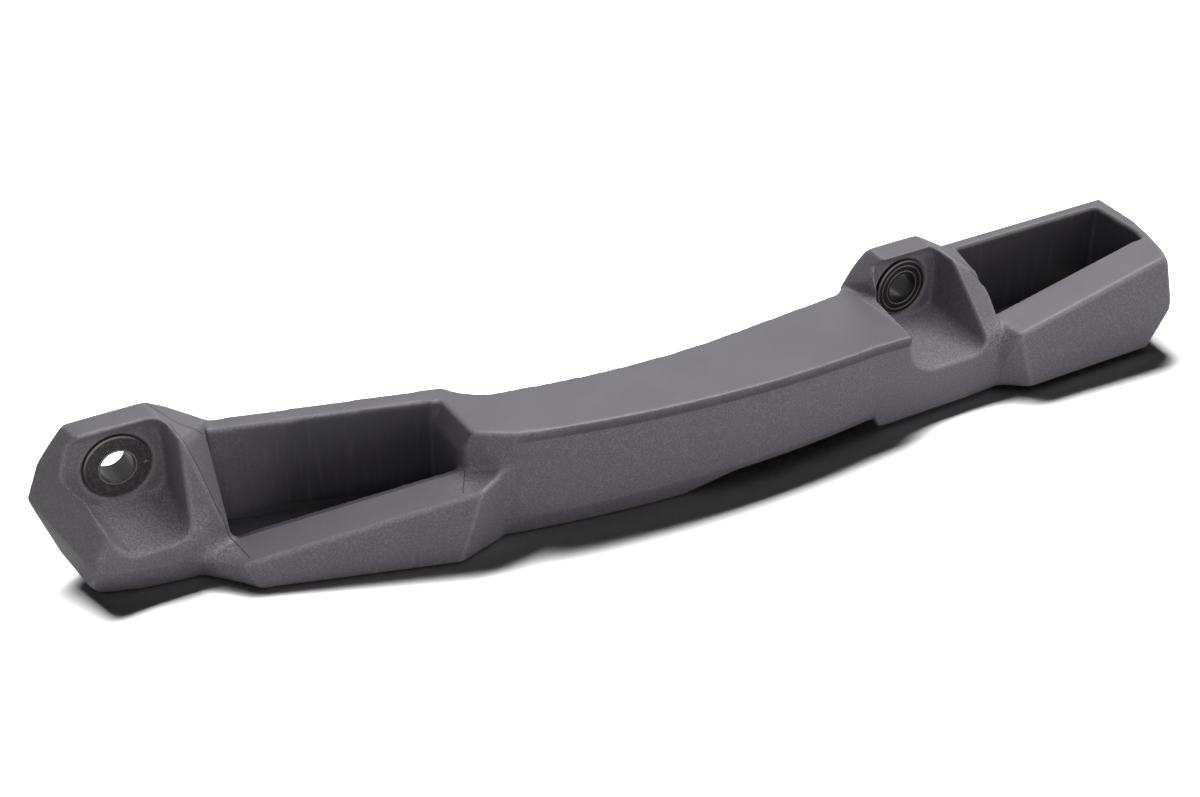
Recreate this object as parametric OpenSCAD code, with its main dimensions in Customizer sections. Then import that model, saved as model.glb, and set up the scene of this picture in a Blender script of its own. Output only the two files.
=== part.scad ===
// Grab handle of a motorcycle: one moulded body with two bolt lugs, two open-topped
// pockets and a grip bar, and a flanged steel bush in each lug.
// The part lies as it does on a table. The origin is the centre of the front bush on
// the outer face of its flange. +X runs to the rear lug, +Y runs into the bolt hole and
// +Z is up. All sizes are in millimetres.

/* [Bushes] */
// Bore of both bushes, for an M8 bolt with clearance
bore_d = 9; // [8.4:0.1:10]
// Outside diameter of the flange
flange_d = 17.5; // [15:0.5:20]
// Thickness of the flange
flange_t = 1.6; // [1:0.1:3]
// Outside diameter of the sleeve
sleeve_d = 12.5; // [11:0.5:14]
// Length of the bush, which is also the thickness of the lug behind the flange face
bush_len = 9.4; // [8:0.1:14]
// Chamfer of the bore at the end of the sleeve
bore_chamfer = 0.5; // [0.2:0.1:1]
// Clearance all round between a bush and the body
bush_clear = 0.05; // [0.02:0.01:0.2]
// Width of the groove that the moulding leaves round the flange
seat_gap = 0.5; // [0.3:0.1:1]
// How far the flange face stands out of the recess floor
flange_proud = 0.4; // [0:0.1:1]

/* [Places of the lugs] */
// Distance between the two bolt axes along the handle
axis_pitch = 232; // [180:1:280]
// How far the rear flange face stands forward of the front one
rear_forward = 20; // [0:1:40]
// How far the rear bolt axis lies below the front one
rear_drop = 3; // [0:0.5:15]
// Depth of the underside below the front bolt axis
base_depth = 31; // [26:0.5:40]

/* [Front lug] */
// Height of the top of the front lug above its bolt axis
front_top = 13; // [12:0.5:18]
// Half width of the top of the front lug
front_top_half = 10.5; // [9:0.5:14]
// Reach of the pointed front end beyond the bolt axis
end_reach = 22; // [18:0.5:30]
// Height of the pointed front end, measured down from the bolt axis
end_tip_drop = 7.3; // [2:0.1:14]
// How far the front face stands out from the flange face
front_stand = 15; // [12:0.5:20]
// Height of the lower edge of the front face below the bolt axis, at the front end
front_edge_drop = 19.4; // [16:0.1:24]
// Round-off between the top and the back of a lug
back_round = 3.4; // [1:0.1:5]

/* [Rear lug] */
// Height of the top of the rear lug above its bolt axis
rear_top = 12.5; // [12:0.5:18]
// Half width of the top of the rear lug
rear_top_half = 9; // [8:0.5:14]
// How far the face below the rear recess stands out from the flange face
rear_stand = 26; // [20:0.5:32]

/* [Recesses for the bolt heads] */
// Distance of a recess's rear wall from the bolt axis
recess_half = 12.2; // [10:0.1:14]
// Distance of the front recess's front wall from the bolt axis, at the floor
front_recess_left = 14.2; // [10:0.1:16]
// Distance of the rear recess's front wall from the bolt axis, at the floor
rear_recess_left = 11.2; // [10:0.1:16]
// Height of the recess roof above the bolt axis, at the floor
recess_roof = 10.4; // [9.5:0.1:12]
// Depth of the trough below the bolt axis, at the floor
trough_depth = 10; // [9.5:0.1:12]
// Slope of the roof towards the mouth
roof_angle = 45; // [20:1:60]
// Slope of the trough towards the mouth of the front recess
front_trough_angle = 26; // [0:1:35]
// Slope of the trough towards the mouth of the rear recess
rear_trough_angle = 5.5; // [0:0.5:25]
// Angle by which the front recess narrows towards its mouth
front_narrowing = 22; // [0:1:30]
// Angle by which the rear recess widens towards its mouth
rear_flare = 10.8; // [0:0.1:15]
// Corner radius of the recesses at the rear wall
recess_corner = 4; // [1:0.5:6]
// Corner radius of the recesses between the front wall and the trough
trough_corner = 11.3; // [6:0.1:12]

/* [Grip bar] */
// Height of the front end of the bar's top above the front bolt axis
bar_top_front = 2.5; // [-2:0.1:6]
// Height of the rear end of the bar's top above the front bolt axis
bar_top_rear = -2; // [-6:0.1:4]
// Distance of the bar's front face from the front flange face, at mid length
bar_stand = 48.7; // [40:0.1:60]
// Depth of the bar at its thinnest, from front to back
bar_depth = 26.3; // [20:0.1:36]
// Height of the arch under the bar
arch_rise = 4; // [0:0.5:8]
// Height of the lip along the top of the bar's front face
lip_height = 1.8; // [0.8:0.1:4]
// How far the lip stands out from the front face
lip_out = 0.5; // [0.2:0.1:1.5]
// Height at which the lower front edge starts to roll under
roll_height = 7; // [3:0.5:12]
// How far the lower front edge rolls under
roll_in = 2.4; // [1:0.1:4]

/* [Front pocket] */
// Angle of the front box to the handle's length
box_turn = 17.8; // [10:0.1:25]
// Height of the back rim at the front lug
rim_front = 0.7; // [-4:0.1:4]
// Thickness of the pockets' back walls
pocket_wall = 6; // [3:0.5:8]
// Width of the ledge in front of the front pocket
ledge_w = 13.3; // [10:0.1:20]
// Drop of the ledge below the front bolt axis, at the front lug
ledge_drop = 22.5; // [18:0.5:26]
// Rise of the ledges for each millimetre along the handle
ledge_rise = 0.22; // [0.1:0.01:0.3]
// Thickness of the pockets' floors
pocket_floor = 2.5; // [2:0.5:8]

/* [Rear pocket] */
// Height of the rear rim above the front bolt axis
rim_rear = 1.5; // [-4:0.1:4]
// Length from the rear bolt axis to the rear end
rear_reach = 86; // [70:0.5:100]
// Distance of the rear box's front face from the front flange face
rear_box_stand = 51.7; // [45:0.1:60]
// Width of the ledge in front of the rear pocket
rear_ledge_w = 13.5; // [10:0.5:20]
// Thickness of the wall at the rear end
end_wall = 5.5; // [3:0.5:8]

/* [Hidden] */
eps = 0.01;
tall = 60;
base_z = -base_depth;
back_y = bush_len;
rear_x = axis_pitch;
rear_y = -rear_forward;
rear_z = -rear_drop;
rear_back_y = rear_y + bush_len;
end_x = rear_x + rear_reach;

// Slope of the turned front box: y falls by this much for each millimetre of x
box_slope = tan(box_turn);
// Front box, in plan: the back line starts at the lug, the front line at the ledge corner
box_x0 = 24;
box_x1 = 86;
box_front_x0 = 21;
box_front_x1 = 80;
box_front_y0 = -25.1;
box_turn_x = 26.5;
function box_back_y(x) = back_y - box_slope * (x - box_turn_x);
function box_front_y(x) = box_front_y0 - box_slope * (x - box_front_x0);
function ledge_z(x) = -ledge_drop + ledge_rise * (x - box_front_x0);
// The step across the ledge, square to the turned box
ledge_dx = ledge_w * sin(box_turn);
ledge_dy = ledge_w * cos(box_turn);

// Inner edge of the ledge, which is also the front wall of the pocket
function ledge_inner_y(x) = box_front_y(x - ledge_dx) + ledge_dy;
pocket_x1 = 80;

// Bar: its top is one sloping plane, its front is one arc, and its back is waisted by
// an arc that runs out on both sides in straight lines
bar_mid = 165;
bow_r = 333;
waist_x = 139.5;
waist_y = -bar_stand + bar_depth;
waist_r = 226;
touch_dx = 30;
touch_dy = 2;
run_slope = touch_dx / (waist_r - touch_dy);
bar_r = bow_r - lip_out;
lug_front = rear_y - rear_stand;
function bar_front_y(x) = bow_r - bar_stand - sqrt(pow(bar_r, 2) - pow(x - bar_mid, 2));
function run_y(x) = waist_y + touch_dy + run_slope * (abs(x - waist_x) - touch_dx);
// Where the tops of the front box's wall and of the bar meet
crest_x = box_x1 + 1.3;
bar_tilt = atan((bar_top_front - bar_top_rear) / (rear_x - 16 - crest_x));
strip_tilt = atan((bar_top_front - rim_front) / (crest_x - box_x0));

// Rear box, in plan and in its ledge
rear_wall_x0 = rear_x + 18.5;
function rear_ledge_z(x) = rim_rear - 0.2 * (end_x - 12.5 - x);
rear_ledge_y = -rear_box_stand + rear_ledge_w;

// Convex solid on a list of corners
module block(corners) {
    hull()
        polyhedron(corners, [for (i = [2:len(corners) - 1]) [0, i - 1, i]]);
}

// Everything above a plane that passes through x0, z0 and climbs by the angle tilt
module above(x0, z0, tilt) {
    translate([x0, -150, z0])
        rotate([0, -tilt, 0])
            translate([-400, 0, 0])
                cube([800, 300, tall]);
}

// Flanged bush, its flange face on the XZ plane and its sleeve along +Y
module bush() {
    rotate([-90, 0, 0])
        rotate_extrude($fn = 96)
            polygon([
                [bore_d / 2, 0],
                [flange_d / 2 - 0.4, 0],
                [flange_d / 2, 0.4],
                [flange_d / 2, flange_t],
                [sleeve_d / 2, flange_t],
                [sleeve_d / 2, bush_len],
                [bore_d / 2 + bore_chamfer, bush_len],
                [bore_d / 2, bush_len - bore_chamfer]
            ]);
}

// Room for one bush: the seat of the flange with its groove, and the hole for the sleeve
module bush_room() {
    rotate([-90, 0, 0]) {
        translate([0, 0, -eps])
            cylinder(h = flange_t + eps, r = flange_d / 2 + seat_gap, $fn = 96);
        cylinder(h = bush_len + 1, r = sleeve_d / 2 + bush_clear, $fn = 96);
    }
}

// Area seen along the bolt, drawn forward along a line that climbs by the angle from
// the height pivot
module drawn_forward(angle, pivot) {
    translate([0, 0, pivot])
        rotate([90 - angle, 0, 0])
            translate([0, -pivot, -tall])
                linear_extrude(3 * tall)
                    children();
}

// Rear wall and bottom of a recess, with the round corner between them
module trough_area() {
    r = recess_corner;
    union() {
        translate([-tall, -trough_depth])
            square([tall + recess_half - r, 2 * tall]);
        translate([-tall, -trough_depth + r])
            square([tall + recess_half, 2 * tall]);
        translate([recess_half - r, -trough_depth + r])
            circle(r, $fn = 48);
    }
}

// Front wall of a recess with its large round corner; the wall stands at x = 0
module front_wall_area() {
    r = trough_corner;
    low = trough_depth + 0.4;
    union() {
        translate([r, -low])
            square([2 * tall, 2 * tall]);
        translate([0, -low + r])
            square([2 * tall, 2 * tall]);
        translate([r, -low + r])
            circle(r, $fn = 96);
    }
}

// Everything under the roof of a recess, with the round corner at the rear wall
module roof_area() {
    r = recess_corner;
    union() {
        translate([-tall, recess_roof - 2 * tall])
            square([tall + recess_half - r, 2 * tall]);
        translate([-tall, recess_roof - r - 2 * tall])
            square([tall + recess_half, 2 * tall]);
        translate([recess_half - r, recess_roof - r])
            circle(r, $fn = 48);
    }
}

// Recess in front of a bush: its trough falls and its roof climbs towards the mouth, and
// its front wall stands at -left and is turned by the angle turn
module bolt_recess(trough_angle, left, turn) {
    intersection() {
        drawn_forward(-trough_angle, -trough_depth)
            trough_area();
        translate([-left, 0, 0])
            rotate([0, 0, turn])
                drawn_forward(-trough_angle, -trough_depth)
                    front_wall_area();
        drawn_forward(roof_angle, recess_roof)
            roof_area();
        translate([-tall, flange_proud - 2 * tall, -tall])
            cube(2 * tall);
    }
}

// Front lug with its pointed end, before the recess is cut
module front_lug_block() {
    block([
        // back face, from the pointed end over the top to the pocket
        [-end_reach, back_y, -end_tip_drop],
        [-end_reach + 3.5, back_y, 1.2],
        [-front_top_half, back_y, front_top - back_round],
        [front_top_half + 0.5, back_y, front_top - back_round + 0.6],
        [front_top_half + 6.5, back_y, front_top - 5.2],
        [front_top_half + 11, back_y, front_top - 9.7],
        [box_x0 + 3, back_y, rim_front],
        [box_x0, back_y, base_z],
        [-4, back_y, base_z],
        // top
        [-front_top_half, back_y - back_round, front_top],
        [front_top_half, back_y - back_round, front_top],
        [recess_half + 0.4, -front_stand + 1.3, front_top - 0.8],
        // upper facet of the end, as far as the rim of the recess
        [-front_top_half + 1.5, -3.6, front_top],
        [-recess_half + 0.2, flange_proud, 9.7],
        [-front_recess_left + 0.3, flange_proud, 4],
        [-front_recess_left + 0.7, flange_proud, -0.6],
        // front face, and its edge beside the pocket
        [recess_half + 1.6, -front_stand + 0.6, front_top - 3],
        [box_x0 - 2, -front_stand + 1.6, -ledge_drop + 2.5],
        [recess_half + 1, -front_stand, -front_edge_drop - 5],
        [-6, -front_stand, -3.5],
        [-13.5, -front_stand, -front_edge_drop],
        [box_x0 + 1, 4.2, rim_front],
        [box_x0 + 0.3, -11, -ledge_drop],
        // lower corner of the end
        [-17.2, 3, -22],
        [-13.7, -10, -26.5],
        // underside
        [-11, -7, base_z],
        [0, -11, base_z],
        [recess_half + 1, -front_stand + 2, base_z],
        [box_x0 - 1, -front_stand + 2, base_z]
    ]);
}

// Lower part of the front box, up to the plane of its ledge
module front_box_block() {
    block([
        [box_x0, back_y, ledge_z(box_x0)],
        [box_x0, back_y, base_z],
        [box_turn_x, back_y, ledge_z(box_turn_x)],
        [box_turn_x, back_y, base_z],
        [box_x1, box_back_y(box_x1), ledge_z(box_x1)],
        [box_x1, box_back_y(box_x1), base_z],
        // front face, with its lower corners drawn in
        [box_front_x0, box_front_y(box_front_x0), ledge_z(box_front_x0)],
        [box_front_x1, box_front_y(box_front_x1), ledge_z(box_front_x1)],
        [box_front_x0 + 3.8, box_front_y(box_front_x0 + 3.8), base_z],
        [box_front_x1 - 6, box_front_y(box_front_x1 - 6), base_z],
        // rear end, turned back to the bar
        [89.8, bar_front_y(89.8) - 0.4, ledge_z(89.8)],
        [88, bar_front_y(88) + 1.5, base_z],
        // front end, running out on the lug
        [17.5, -front_stand - 0.2, ledge_z(17.5)],
        [recess_half + 1, -front_stand, -front_edge_drop - 5],
        [box_front_x0 - 2, -front_stand - 4.5, base_z + 5],
        [recess_half + 1, -front_stand + 2, base_z]
    ]);
}

// Back wall of the front pocket, its top climbing towards the bar
module front_back_wall() {
    difference() {
        translate([0, 0, base_z])
            linear_extrude(tall)
                polygon([
                    [box_x0 - 2, back_y],
                    [box_turn_x, back_y],
                    [box_x1, box_back_y(box_x1)],
                    [box_x1, box_back_y(box_x1) - pocket_wall - 2],
                    [box_x0 - 2, back_y - pocket_wall - 1]
                ]);
        above(box_x0, rim_front, strip_tilt);
    }
}

// Everything behind the bow of the bar and the flat front of the rear lug
module bowed_area(radius, flat_y) {
    translate([bar_mid, bow_r - bar_stand])
        circle(radius, $fn = 720);
    translate([bar_mid, flat_y])
        square([2 * tall, 2 * tall]);
}

// Plan of the grip bar: its front bows outwards and its back leaves room for fingers
module bar_plan() {
    difference() {
        intersection() {
            polygon([
                [pocket_x1, box_back_y(box_x1) - 2],
                [pocket_x1, ledge_inner_y(pocket_x1)],
                [pocket_x1 + 0.8, -32.6],
                [pocket_x1 + 5.6, -36.4],
                [pocket_x1 + 24, -46.8],
                [pocket_x1 + 24, -bar_stand - 3],
                [rear_x, -bar_stand - 3],
                [rear_x, rear_back_y],
                [rear_x - 15.6, rear_back_y],
                [rear_x - 16.6, -12.2],
                [rear_x - 19, -13.9],
                [rear_x - 21.5, run_y(rear_x - 21.5)],
                [waist_x + touch_dx, waist_y + touch_dy],
                [waist_x - touch_dx, waist_y + touch_dy],
                [96, run_y(96)],
                [92.4, -17.2],
                [89.1, -14.6],
                [87.2, -12.2],
                [box_x1, box_back_y(box_x1)]
            ]);
            bowed_area(bar_r, lug_front);
        }
        intersection() {
            translate([waist_x, waist_y + waist_r])
                circle(waist_r, $fn = 720);
            translate([waist_x - tall / 2 - 5, waist_y - tall])
                square([tall + 10, 2 * tall]);
        }
    }
}

// Lip that overhangs the front face of the bar, up to the recess of the rear lug
module bar_lip() {
    intersection() {
        translate([0, 0, base_z])
            linear_extrude(tall)
                intersection() {
                    polygon([
                        [95, -36],
                        [97.5, -bar_stand],
                        [bar_mid, -bar_stand - 8],
                        [rear_x - 3, -bar_stand - 8],
                        [rear_x - 3, lug_front + 5]
                    ]);
                    bowed_area(bow_r, lug_front - lip_out);
                }
        above(crest_x, bar_top_front - lip_height, -bar_tilt);
    }
}

// Grip bar
module grip_bar() {
    difference() {
        union() {
            translate([0, 0, base_z])
                linear_extrude(tall)
                    bar_plan();
            bar_lip();
        }
        above(box_x0, rim_front, strip_tilt);
        above(crest_x, bar_top_front, -bar_tilt);
        // arch under the bar
        translate([0, -100, 0])
            rotate([-90, 0, 0])
                linear_extrude(200)
                    polygon([
                        [140, base_depth + eps],
                        [156, base_depth - arch_rise],
                        [205, base_depth - arch_rise],
                        [207, base_depth + eps],
                        [207, base_depth + 5],
                        [140, base_depth + 5]
                    ]);
        // lower front edge, rolled under along the bow
        intersection() {
            translate([bar_mid, bow_r - bar_stand, 0])
                rotate_extrude($fn = 720)
                    polygon([
                        [bar_r + 0.5 * roll_in, base_z + 1.5 * roll_height],
                        [bar_r - 1.2 * roll_in, base_z - 0.2 * roll_height],
                        [bar_r + tall, base_z - 0.2 * roll_height],
                        [bar_r + tall, base_z + 1.5 * roll_height]
                    ]);
            translate([pocket_x1, -100, base_z - 5])
                cube([125, 80, tall]);
        }
        // lower front edge next to the rear lug
        translate([200, 0, 0])
            rotate([90, 0, 90])
                linear_extrude(tall)
                    polygon([
                        [lug_front - 1, base_z + 1.6],
                        [lug_front, base_z + 1.6],
                        [lug_front + 2, base_z],
                        [lug_front + 2, base_z - 1],
                        [lug_front - 1, base_z - 1]
                    ]);
    }
}

// Rear lug, before the recess is cut
module rear_lug_block() {
    top = rear_z + rear_top;
    front = lug_front;
    side = rear_x + recess_half - 0.2;
    block([
        // back face
        [rear_x - 15.4, rear_back_y, -6],
        [rear_x - 15.3, rear_back_y, -1.7],
        [rear_x - 12.4, rear_back_y, 2.2],
        [rear_x - rear_top_half + 1.5, rear_back_y, top - back_round + 0.7],
        [rear_x + rear_top_half + 0.3, rear_back_y, top - back_round + 1],
        [rear_x + 14, rear_back_y, 4.7],
        [rear_x + 17.3, rear_back_y, 1.9],
        [rear_wall_x0 + 3, rear_back_y, rim_rear],
        [rear_wall_x0 + 3, rear_back_y, base_z],
        [rear_x - 15.4, rear_back_y, base_z],
        // top
        [rear_x - rear_top_half + 0.5, rear_back_y - back_round, top],
        [rear_x + rear_top_half, rear_back_y - back_round, top],
        [rear_x - rear_top_half - 0.5, rear_y - 3, top],
        [rear_x + rear_top_half - 1.5, rear_y - 3.5, top],
        [rear_x - 13.4, rear_y + flange_proud, 3],
        [rear_x - rear_recess_left, rear_y + flange_proud, bar_top_rear],
        // rib between the recess and the pocket
        [side, rear_y - 13, 0],
        [rear_wall_x0 + 1.2, rear_y - 13, rim_rear],
        [rear_wall_x0 + 2.5, rear_ledge_y, rear_ledge_z(rear_wall_x0)],
        // face beside and below the recess
        [side, rear_y - 16.8, -2.5],
        [rear_x + 18, front + 1, rear_ledge_z(rear_x + 18) - 0.4],
        [rear_x + 16, front, -14.8],
        [rear_x - 4, front, -13],
        [rear_x - 2, front, base_z + 1.6],
        [rear_x + 18, front, base_z + 5.8],
        [rear_x - 2, front + 2, base_z],
        [rear_x + 17, front, base_z + 1.5],
        [rear_x + 17, front + 2, base_z]
    ]);
}

// Lower part of the rear box, up to the plane of its ledge
module rear_box_block() {
    front = -rear_box_stand;
    low = base_z + 1.5;
    block([
        [rear_wall_x0, rear_back_y, rear_ledge_z(rear_wall_x0)],
        [rear_wall_x0, rear_back_y, low],
        [end_x - 12.5, rear_back_y, rim_rear],
        [end_x, rear_back_y, rim_rear],
        [end_x, rear_back_y, base_z + 8],
        [end_x - 8, rear_back_y, low],
        // rear end, bowed in plan
        [end_x - 1.6, front + 24.4, rim_rear],
        [end_x - 4.4, front + 14.9, rim_rear],
        [end_x - 7.9, front + 5.4, rim_rear],
        // front face
        [rear_wall_x0 + 1.5, front, rear_ledge_z(rear_wall_x0 + 1.5)],
        [end_x - 12.5, front, rim_rear],
        [end_x - 9.9, front, rim_rear - 1.8],
        [end_x - 8.1, front, -6.9],
        [end_x - 5.4, front, -15.6],
        [end_x - 5.3, front, -18],
        [end_x - 11.3, front, -27],
        [end_x - 12.8, front, low],
        // front end, running out on the lug
        [rear_x + 16, rear_y - rear_stand, -14.8],
        [rear_x + 18, rear_y - rear_stand, base_z + 5.8],
        [rear_x + 17, rear_y - rear_stand, low],
        [rear_x + 27, front, low]
    ]);
}

// Back wall and front wall of the rear pocket
module rear_walls() {
    translate([0, 0, base_z + 1.5])
        linear_extrude(rim_rear - base_z - 1.5)
            polygon([
                [rear_wall_x0, rear_back_y],
                [end_x - 2, rear_back_y],
                [end_x - 3, rear_back_y - 8],
                [rear_wall_x0 + 8, rear_back_y - 8],
                [rear_wall_x0 + 8, rear_y - 11],
                [rear_wall_x0 + 0.5, rear_y - 11]
            ]);
}

// Open-topped pocket of the front box
module front_pocket() {
    x0 = box_x0 + 0.2;
    translate([0, 0, base_z + pocket_floor])
        linear_extrude(tall)
            polygon([
                [x0, box_back_y(x0) - pocket_wall],
                [pocket_x1, box_back_y(pocket_x1) - pocket_wall - 0.8],
                [pocket_x1, ledge_inner_y(pocket_x1)],
                [x0 - 1.2, ledge_inner_y(x0 - 1.2)]
            ]);
    // chamfer along the top of the rear wall
    translate([0, -34, 0])
        rotate([-90, 0, 0])
            linear_extrude(34 - 15.5)
                polygon([
                    [pocket_x1 - 0.5, 5.5],
                    [pocket_x1 + 2.6, -2],
                    [pocket_x1 + 2.6, -tall],
                    [pocket_x1 - 0.5, -tall]
                ]);
}

// Open-topped pocket of the rear box
module rear_pocket() {
    wall = pocket_wall - 1.6;
    translate([0, 0, base_z + 1.5 + pocket_floor])
        linear_extrude(tall)
            polygon([
                [rear_x + 24.5, rear_back_y - wall],
                [end_x - end_wall, rear_back_y - wall],
                [end_x - end_wall - 0.9, -rear_box_stand + 18.5],
                [end_x - end_wall - 2.8, rear_ledge_y],
                [rear_wall_x0 + 1.5, rear_ledge_y],
                [rear_wall_x0 + 0.3, rear_y - 13]
            ]);
}

module handle_body() {
    color([0.16, 0.16, 0.17])
        difference() {
            union() {
                front_lug_block();
                front_box_block();
                front_back_wall();
                grip_bar();
                rear_lug_block();
                rear_box_block();
                rear_walls();
            }
            front_pocket();
            rear_pocket();
            bolt_recess(front_trough_angle, front_recess_left, front_narrowing);
            bush_room();
            translate([rear_x, rear_y, rear_z]) {
                bolt_recess(rear_trough_angle, rear_recess_left, -rear_flare);
                bush_room();
            }
        }
}

module front_bush() {
    color([0.30, 0.29, 0.26])
        bush();
}

module rear_bush() {
    color([0.30, 0.29, 0.26])
        translate([rear_x, rear_y, rear_z])
            bush();
}

handle_body();
front_bush();
rear_bush();
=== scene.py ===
"""Looks of a motorcycle grab handle: a moulded body with two flanged steel bushes.

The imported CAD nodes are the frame. The body keeps its node and gets rounded edges and
a moulded finish, each bush keeps its node and gets a plated finish. Fine parting lines
and the rings of the rear bush ride on the body. Lengths are in metres unless a name or
a docstring says millimetres.
"""

import logging
import math
from dataclasses import dataclass, field
from enum import Enum

import bpy
from mathutils import Matrix, Vector
from mathutils.bvhtree import BVHTree


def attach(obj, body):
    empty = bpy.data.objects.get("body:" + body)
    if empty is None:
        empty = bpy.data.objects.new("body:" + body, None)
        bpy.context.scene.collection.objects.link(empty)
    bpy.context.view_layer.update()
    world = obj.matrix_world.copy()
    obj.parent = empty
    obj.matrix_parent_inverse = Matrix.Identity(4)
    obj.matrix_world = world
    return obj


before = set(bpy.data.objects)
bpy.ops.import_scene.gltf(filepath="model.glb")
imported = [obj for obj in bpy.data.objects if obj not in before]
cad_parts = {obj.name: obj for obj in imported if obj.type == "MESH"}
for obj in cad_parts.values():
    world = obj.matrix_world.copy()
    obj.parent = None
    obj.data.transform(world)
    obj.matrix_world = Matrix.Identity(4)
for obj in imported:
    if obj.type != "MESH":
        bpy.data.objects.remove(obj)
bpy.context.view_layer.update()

MM = 0.001
# Named attribute that marks the convex edges, which get a lighter colour as rubbing and as a
# painted highlight
WEAR_AND_SHEEN = "edge_wear_and_sheen"
log = logging.getLogger("grab_handle")

Colour = tuple[float, float, float, float]
Point = tuple[float, float, float]
Socket = bpy.types.NodeSocket
Tree = bpy.types.NodeTree


def to_linear(hex_colour: str) -> Colour:
    """Turns an sRGB hex colour into a linear one.

    Args:
        hex_colour: Colour such as "#5a585c".

    Returns:
        Linear red, green, blue and an alpha of 1.
    """
    parts = [int(hex_colour[i : i + 2], 16) / 255 for i in (1, 3, 5)]
    linear = [p / 12.92 if p <= 0.04045 else ((p + 0.055) / 1.055) ** 2.4 for p in parts]
    return (linear[0], linear[1], linear[2], 1.0)


def add(
    tree: Tree,
    kind: str,
    settings: dict[str, object] | None = None,
    links: dict[str | int, object] | None = None,
) -> bpy.types.Node:
    """Adds a node with its settings and links.

    Args:
        tree: Tree that gets the node.
        kind: Type of the node, such as "ShaderNodeBump".
        settings: Properties of the node by name.
        links: Sockets by name or number, each with a value or a socket to link from.

    Returns:
        The new node.
    """
    node = tree.nodes.new(kind)
    for name, value in (settings or {}).items():
        setattr(node, name, value)
    for key, value in (links or {}).items():
        socket = node.inputs[key]
        if isinstance(value, Socket):
            tree.links.new(value, socket)
        else:
            socket.default_value = value
    return node


def new_material(name: str) -> tuple[bpy.types.Material, Tree]:
    """Makes an empty node material.

    Args:
        name: Name of the material.

    Returns:
        The material and its tree.
    """
    material = bpy.data.materials.new(name)
    material.use_nodes = True
    material.node_tree.nodes.clear()
    return material, material.node_tree


def layered(tree: Tree, base: str, layers: list[tuple[Socket, str]]) -> Socket | Colour:
    """Lays tints over a base colour.

    Args:
        tree: Tree of the material.
        base: Hex colour below all layers.
        layers: Share and hex colour of each layer, from the lowest up.

    Returns:
        The colour that results.
    """
    colour: Socket | Colour = to_linear(base)
    for share, tint in layers:
        colour = add(
            tree,
            "ShaderNodeMix",
            {"data_type": "RGBA"},
            {0: share, 6: colour, 7: to_linear(tint)},
        ).outputs[2]
    return colour


def in_mm(point: Point) -> Point:
    """Turns a point in millimetres into metres."""
    return (point[0] * MM, point[1] * MM, point[2] * MM)


class Side(Enum):
    """End of the handle that a bush belongs to."""

    FRONT = "front"
    REAR = "rear"


class Target(Enum):
    """What a lamp lights."""

    HANDLE = "handle"
    FLOOR = "floor"


@dataclass(frozen=True)
class Region:
    """Box of the part in which a finish holds, in millimetres.

    Its sides along x may be turned: slope is how much they fall in y for each step in x.
    """

    low: Point
    high: Point
    slope: float = 0.0
    blur: float = 0.3

    def mask(self, tree: Tree, place: Socket) -> Socket:
        """Marks the region.

        Args:
            tree: Tree of the material.
            place: Point on the part.

        Returns:
            Socket that is 1 in the region and 0 outside.
        """
        x, y, z = add(tree, "ShaderNodeSeparateXYZ", links={0: place}).outputs
        turned = add(
            tree, "ShaderNodeMath", {"operation": "MULTIPLY_ADD"}, {0: x, 1: self.slope, 2: y}
        ).outputs[0]
        value = add(tree, "ShaderNodeCombineXYZ", links={0: x, 1: turned, 2: z}).outputs[0]
        middle = in_mm(tuple((a + b) / 2 for a, b in zip(self.low, self.high)))
        half = in_mm(tuple((b - a) / 2 for a, b in zip(self.low, self.high)))
        for operation, other in (("SUBTRACT", middle), ("ABSOLUTE", middle), ("SUBTRACT", half)):
            value = add(
                tree, "ShaderNodeVectorMath", {"operation": operation}, {0: value, 1: other}
            ).outputs[0]
        x, y, z = add(tree, "ShaderNodeSeparateXYZ", links={0: value}).outputs
        far = add(tree, "ShaderNodeMath", {"operation": "MAXIMUM"}, {0: x, 1: y}).outputs[0]
        far = add(tree, "ShaderNodeMath", {"operation": "MAXIMUM"}, {0: far, 1: z}).outputs[0]
        return add(
            tree, "ShaderNodeMapRange", links={0: far, 1: 0.0, 2: self.blur * MM, 3: 1, 4: 0}
        ).outputs[0]


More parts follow.
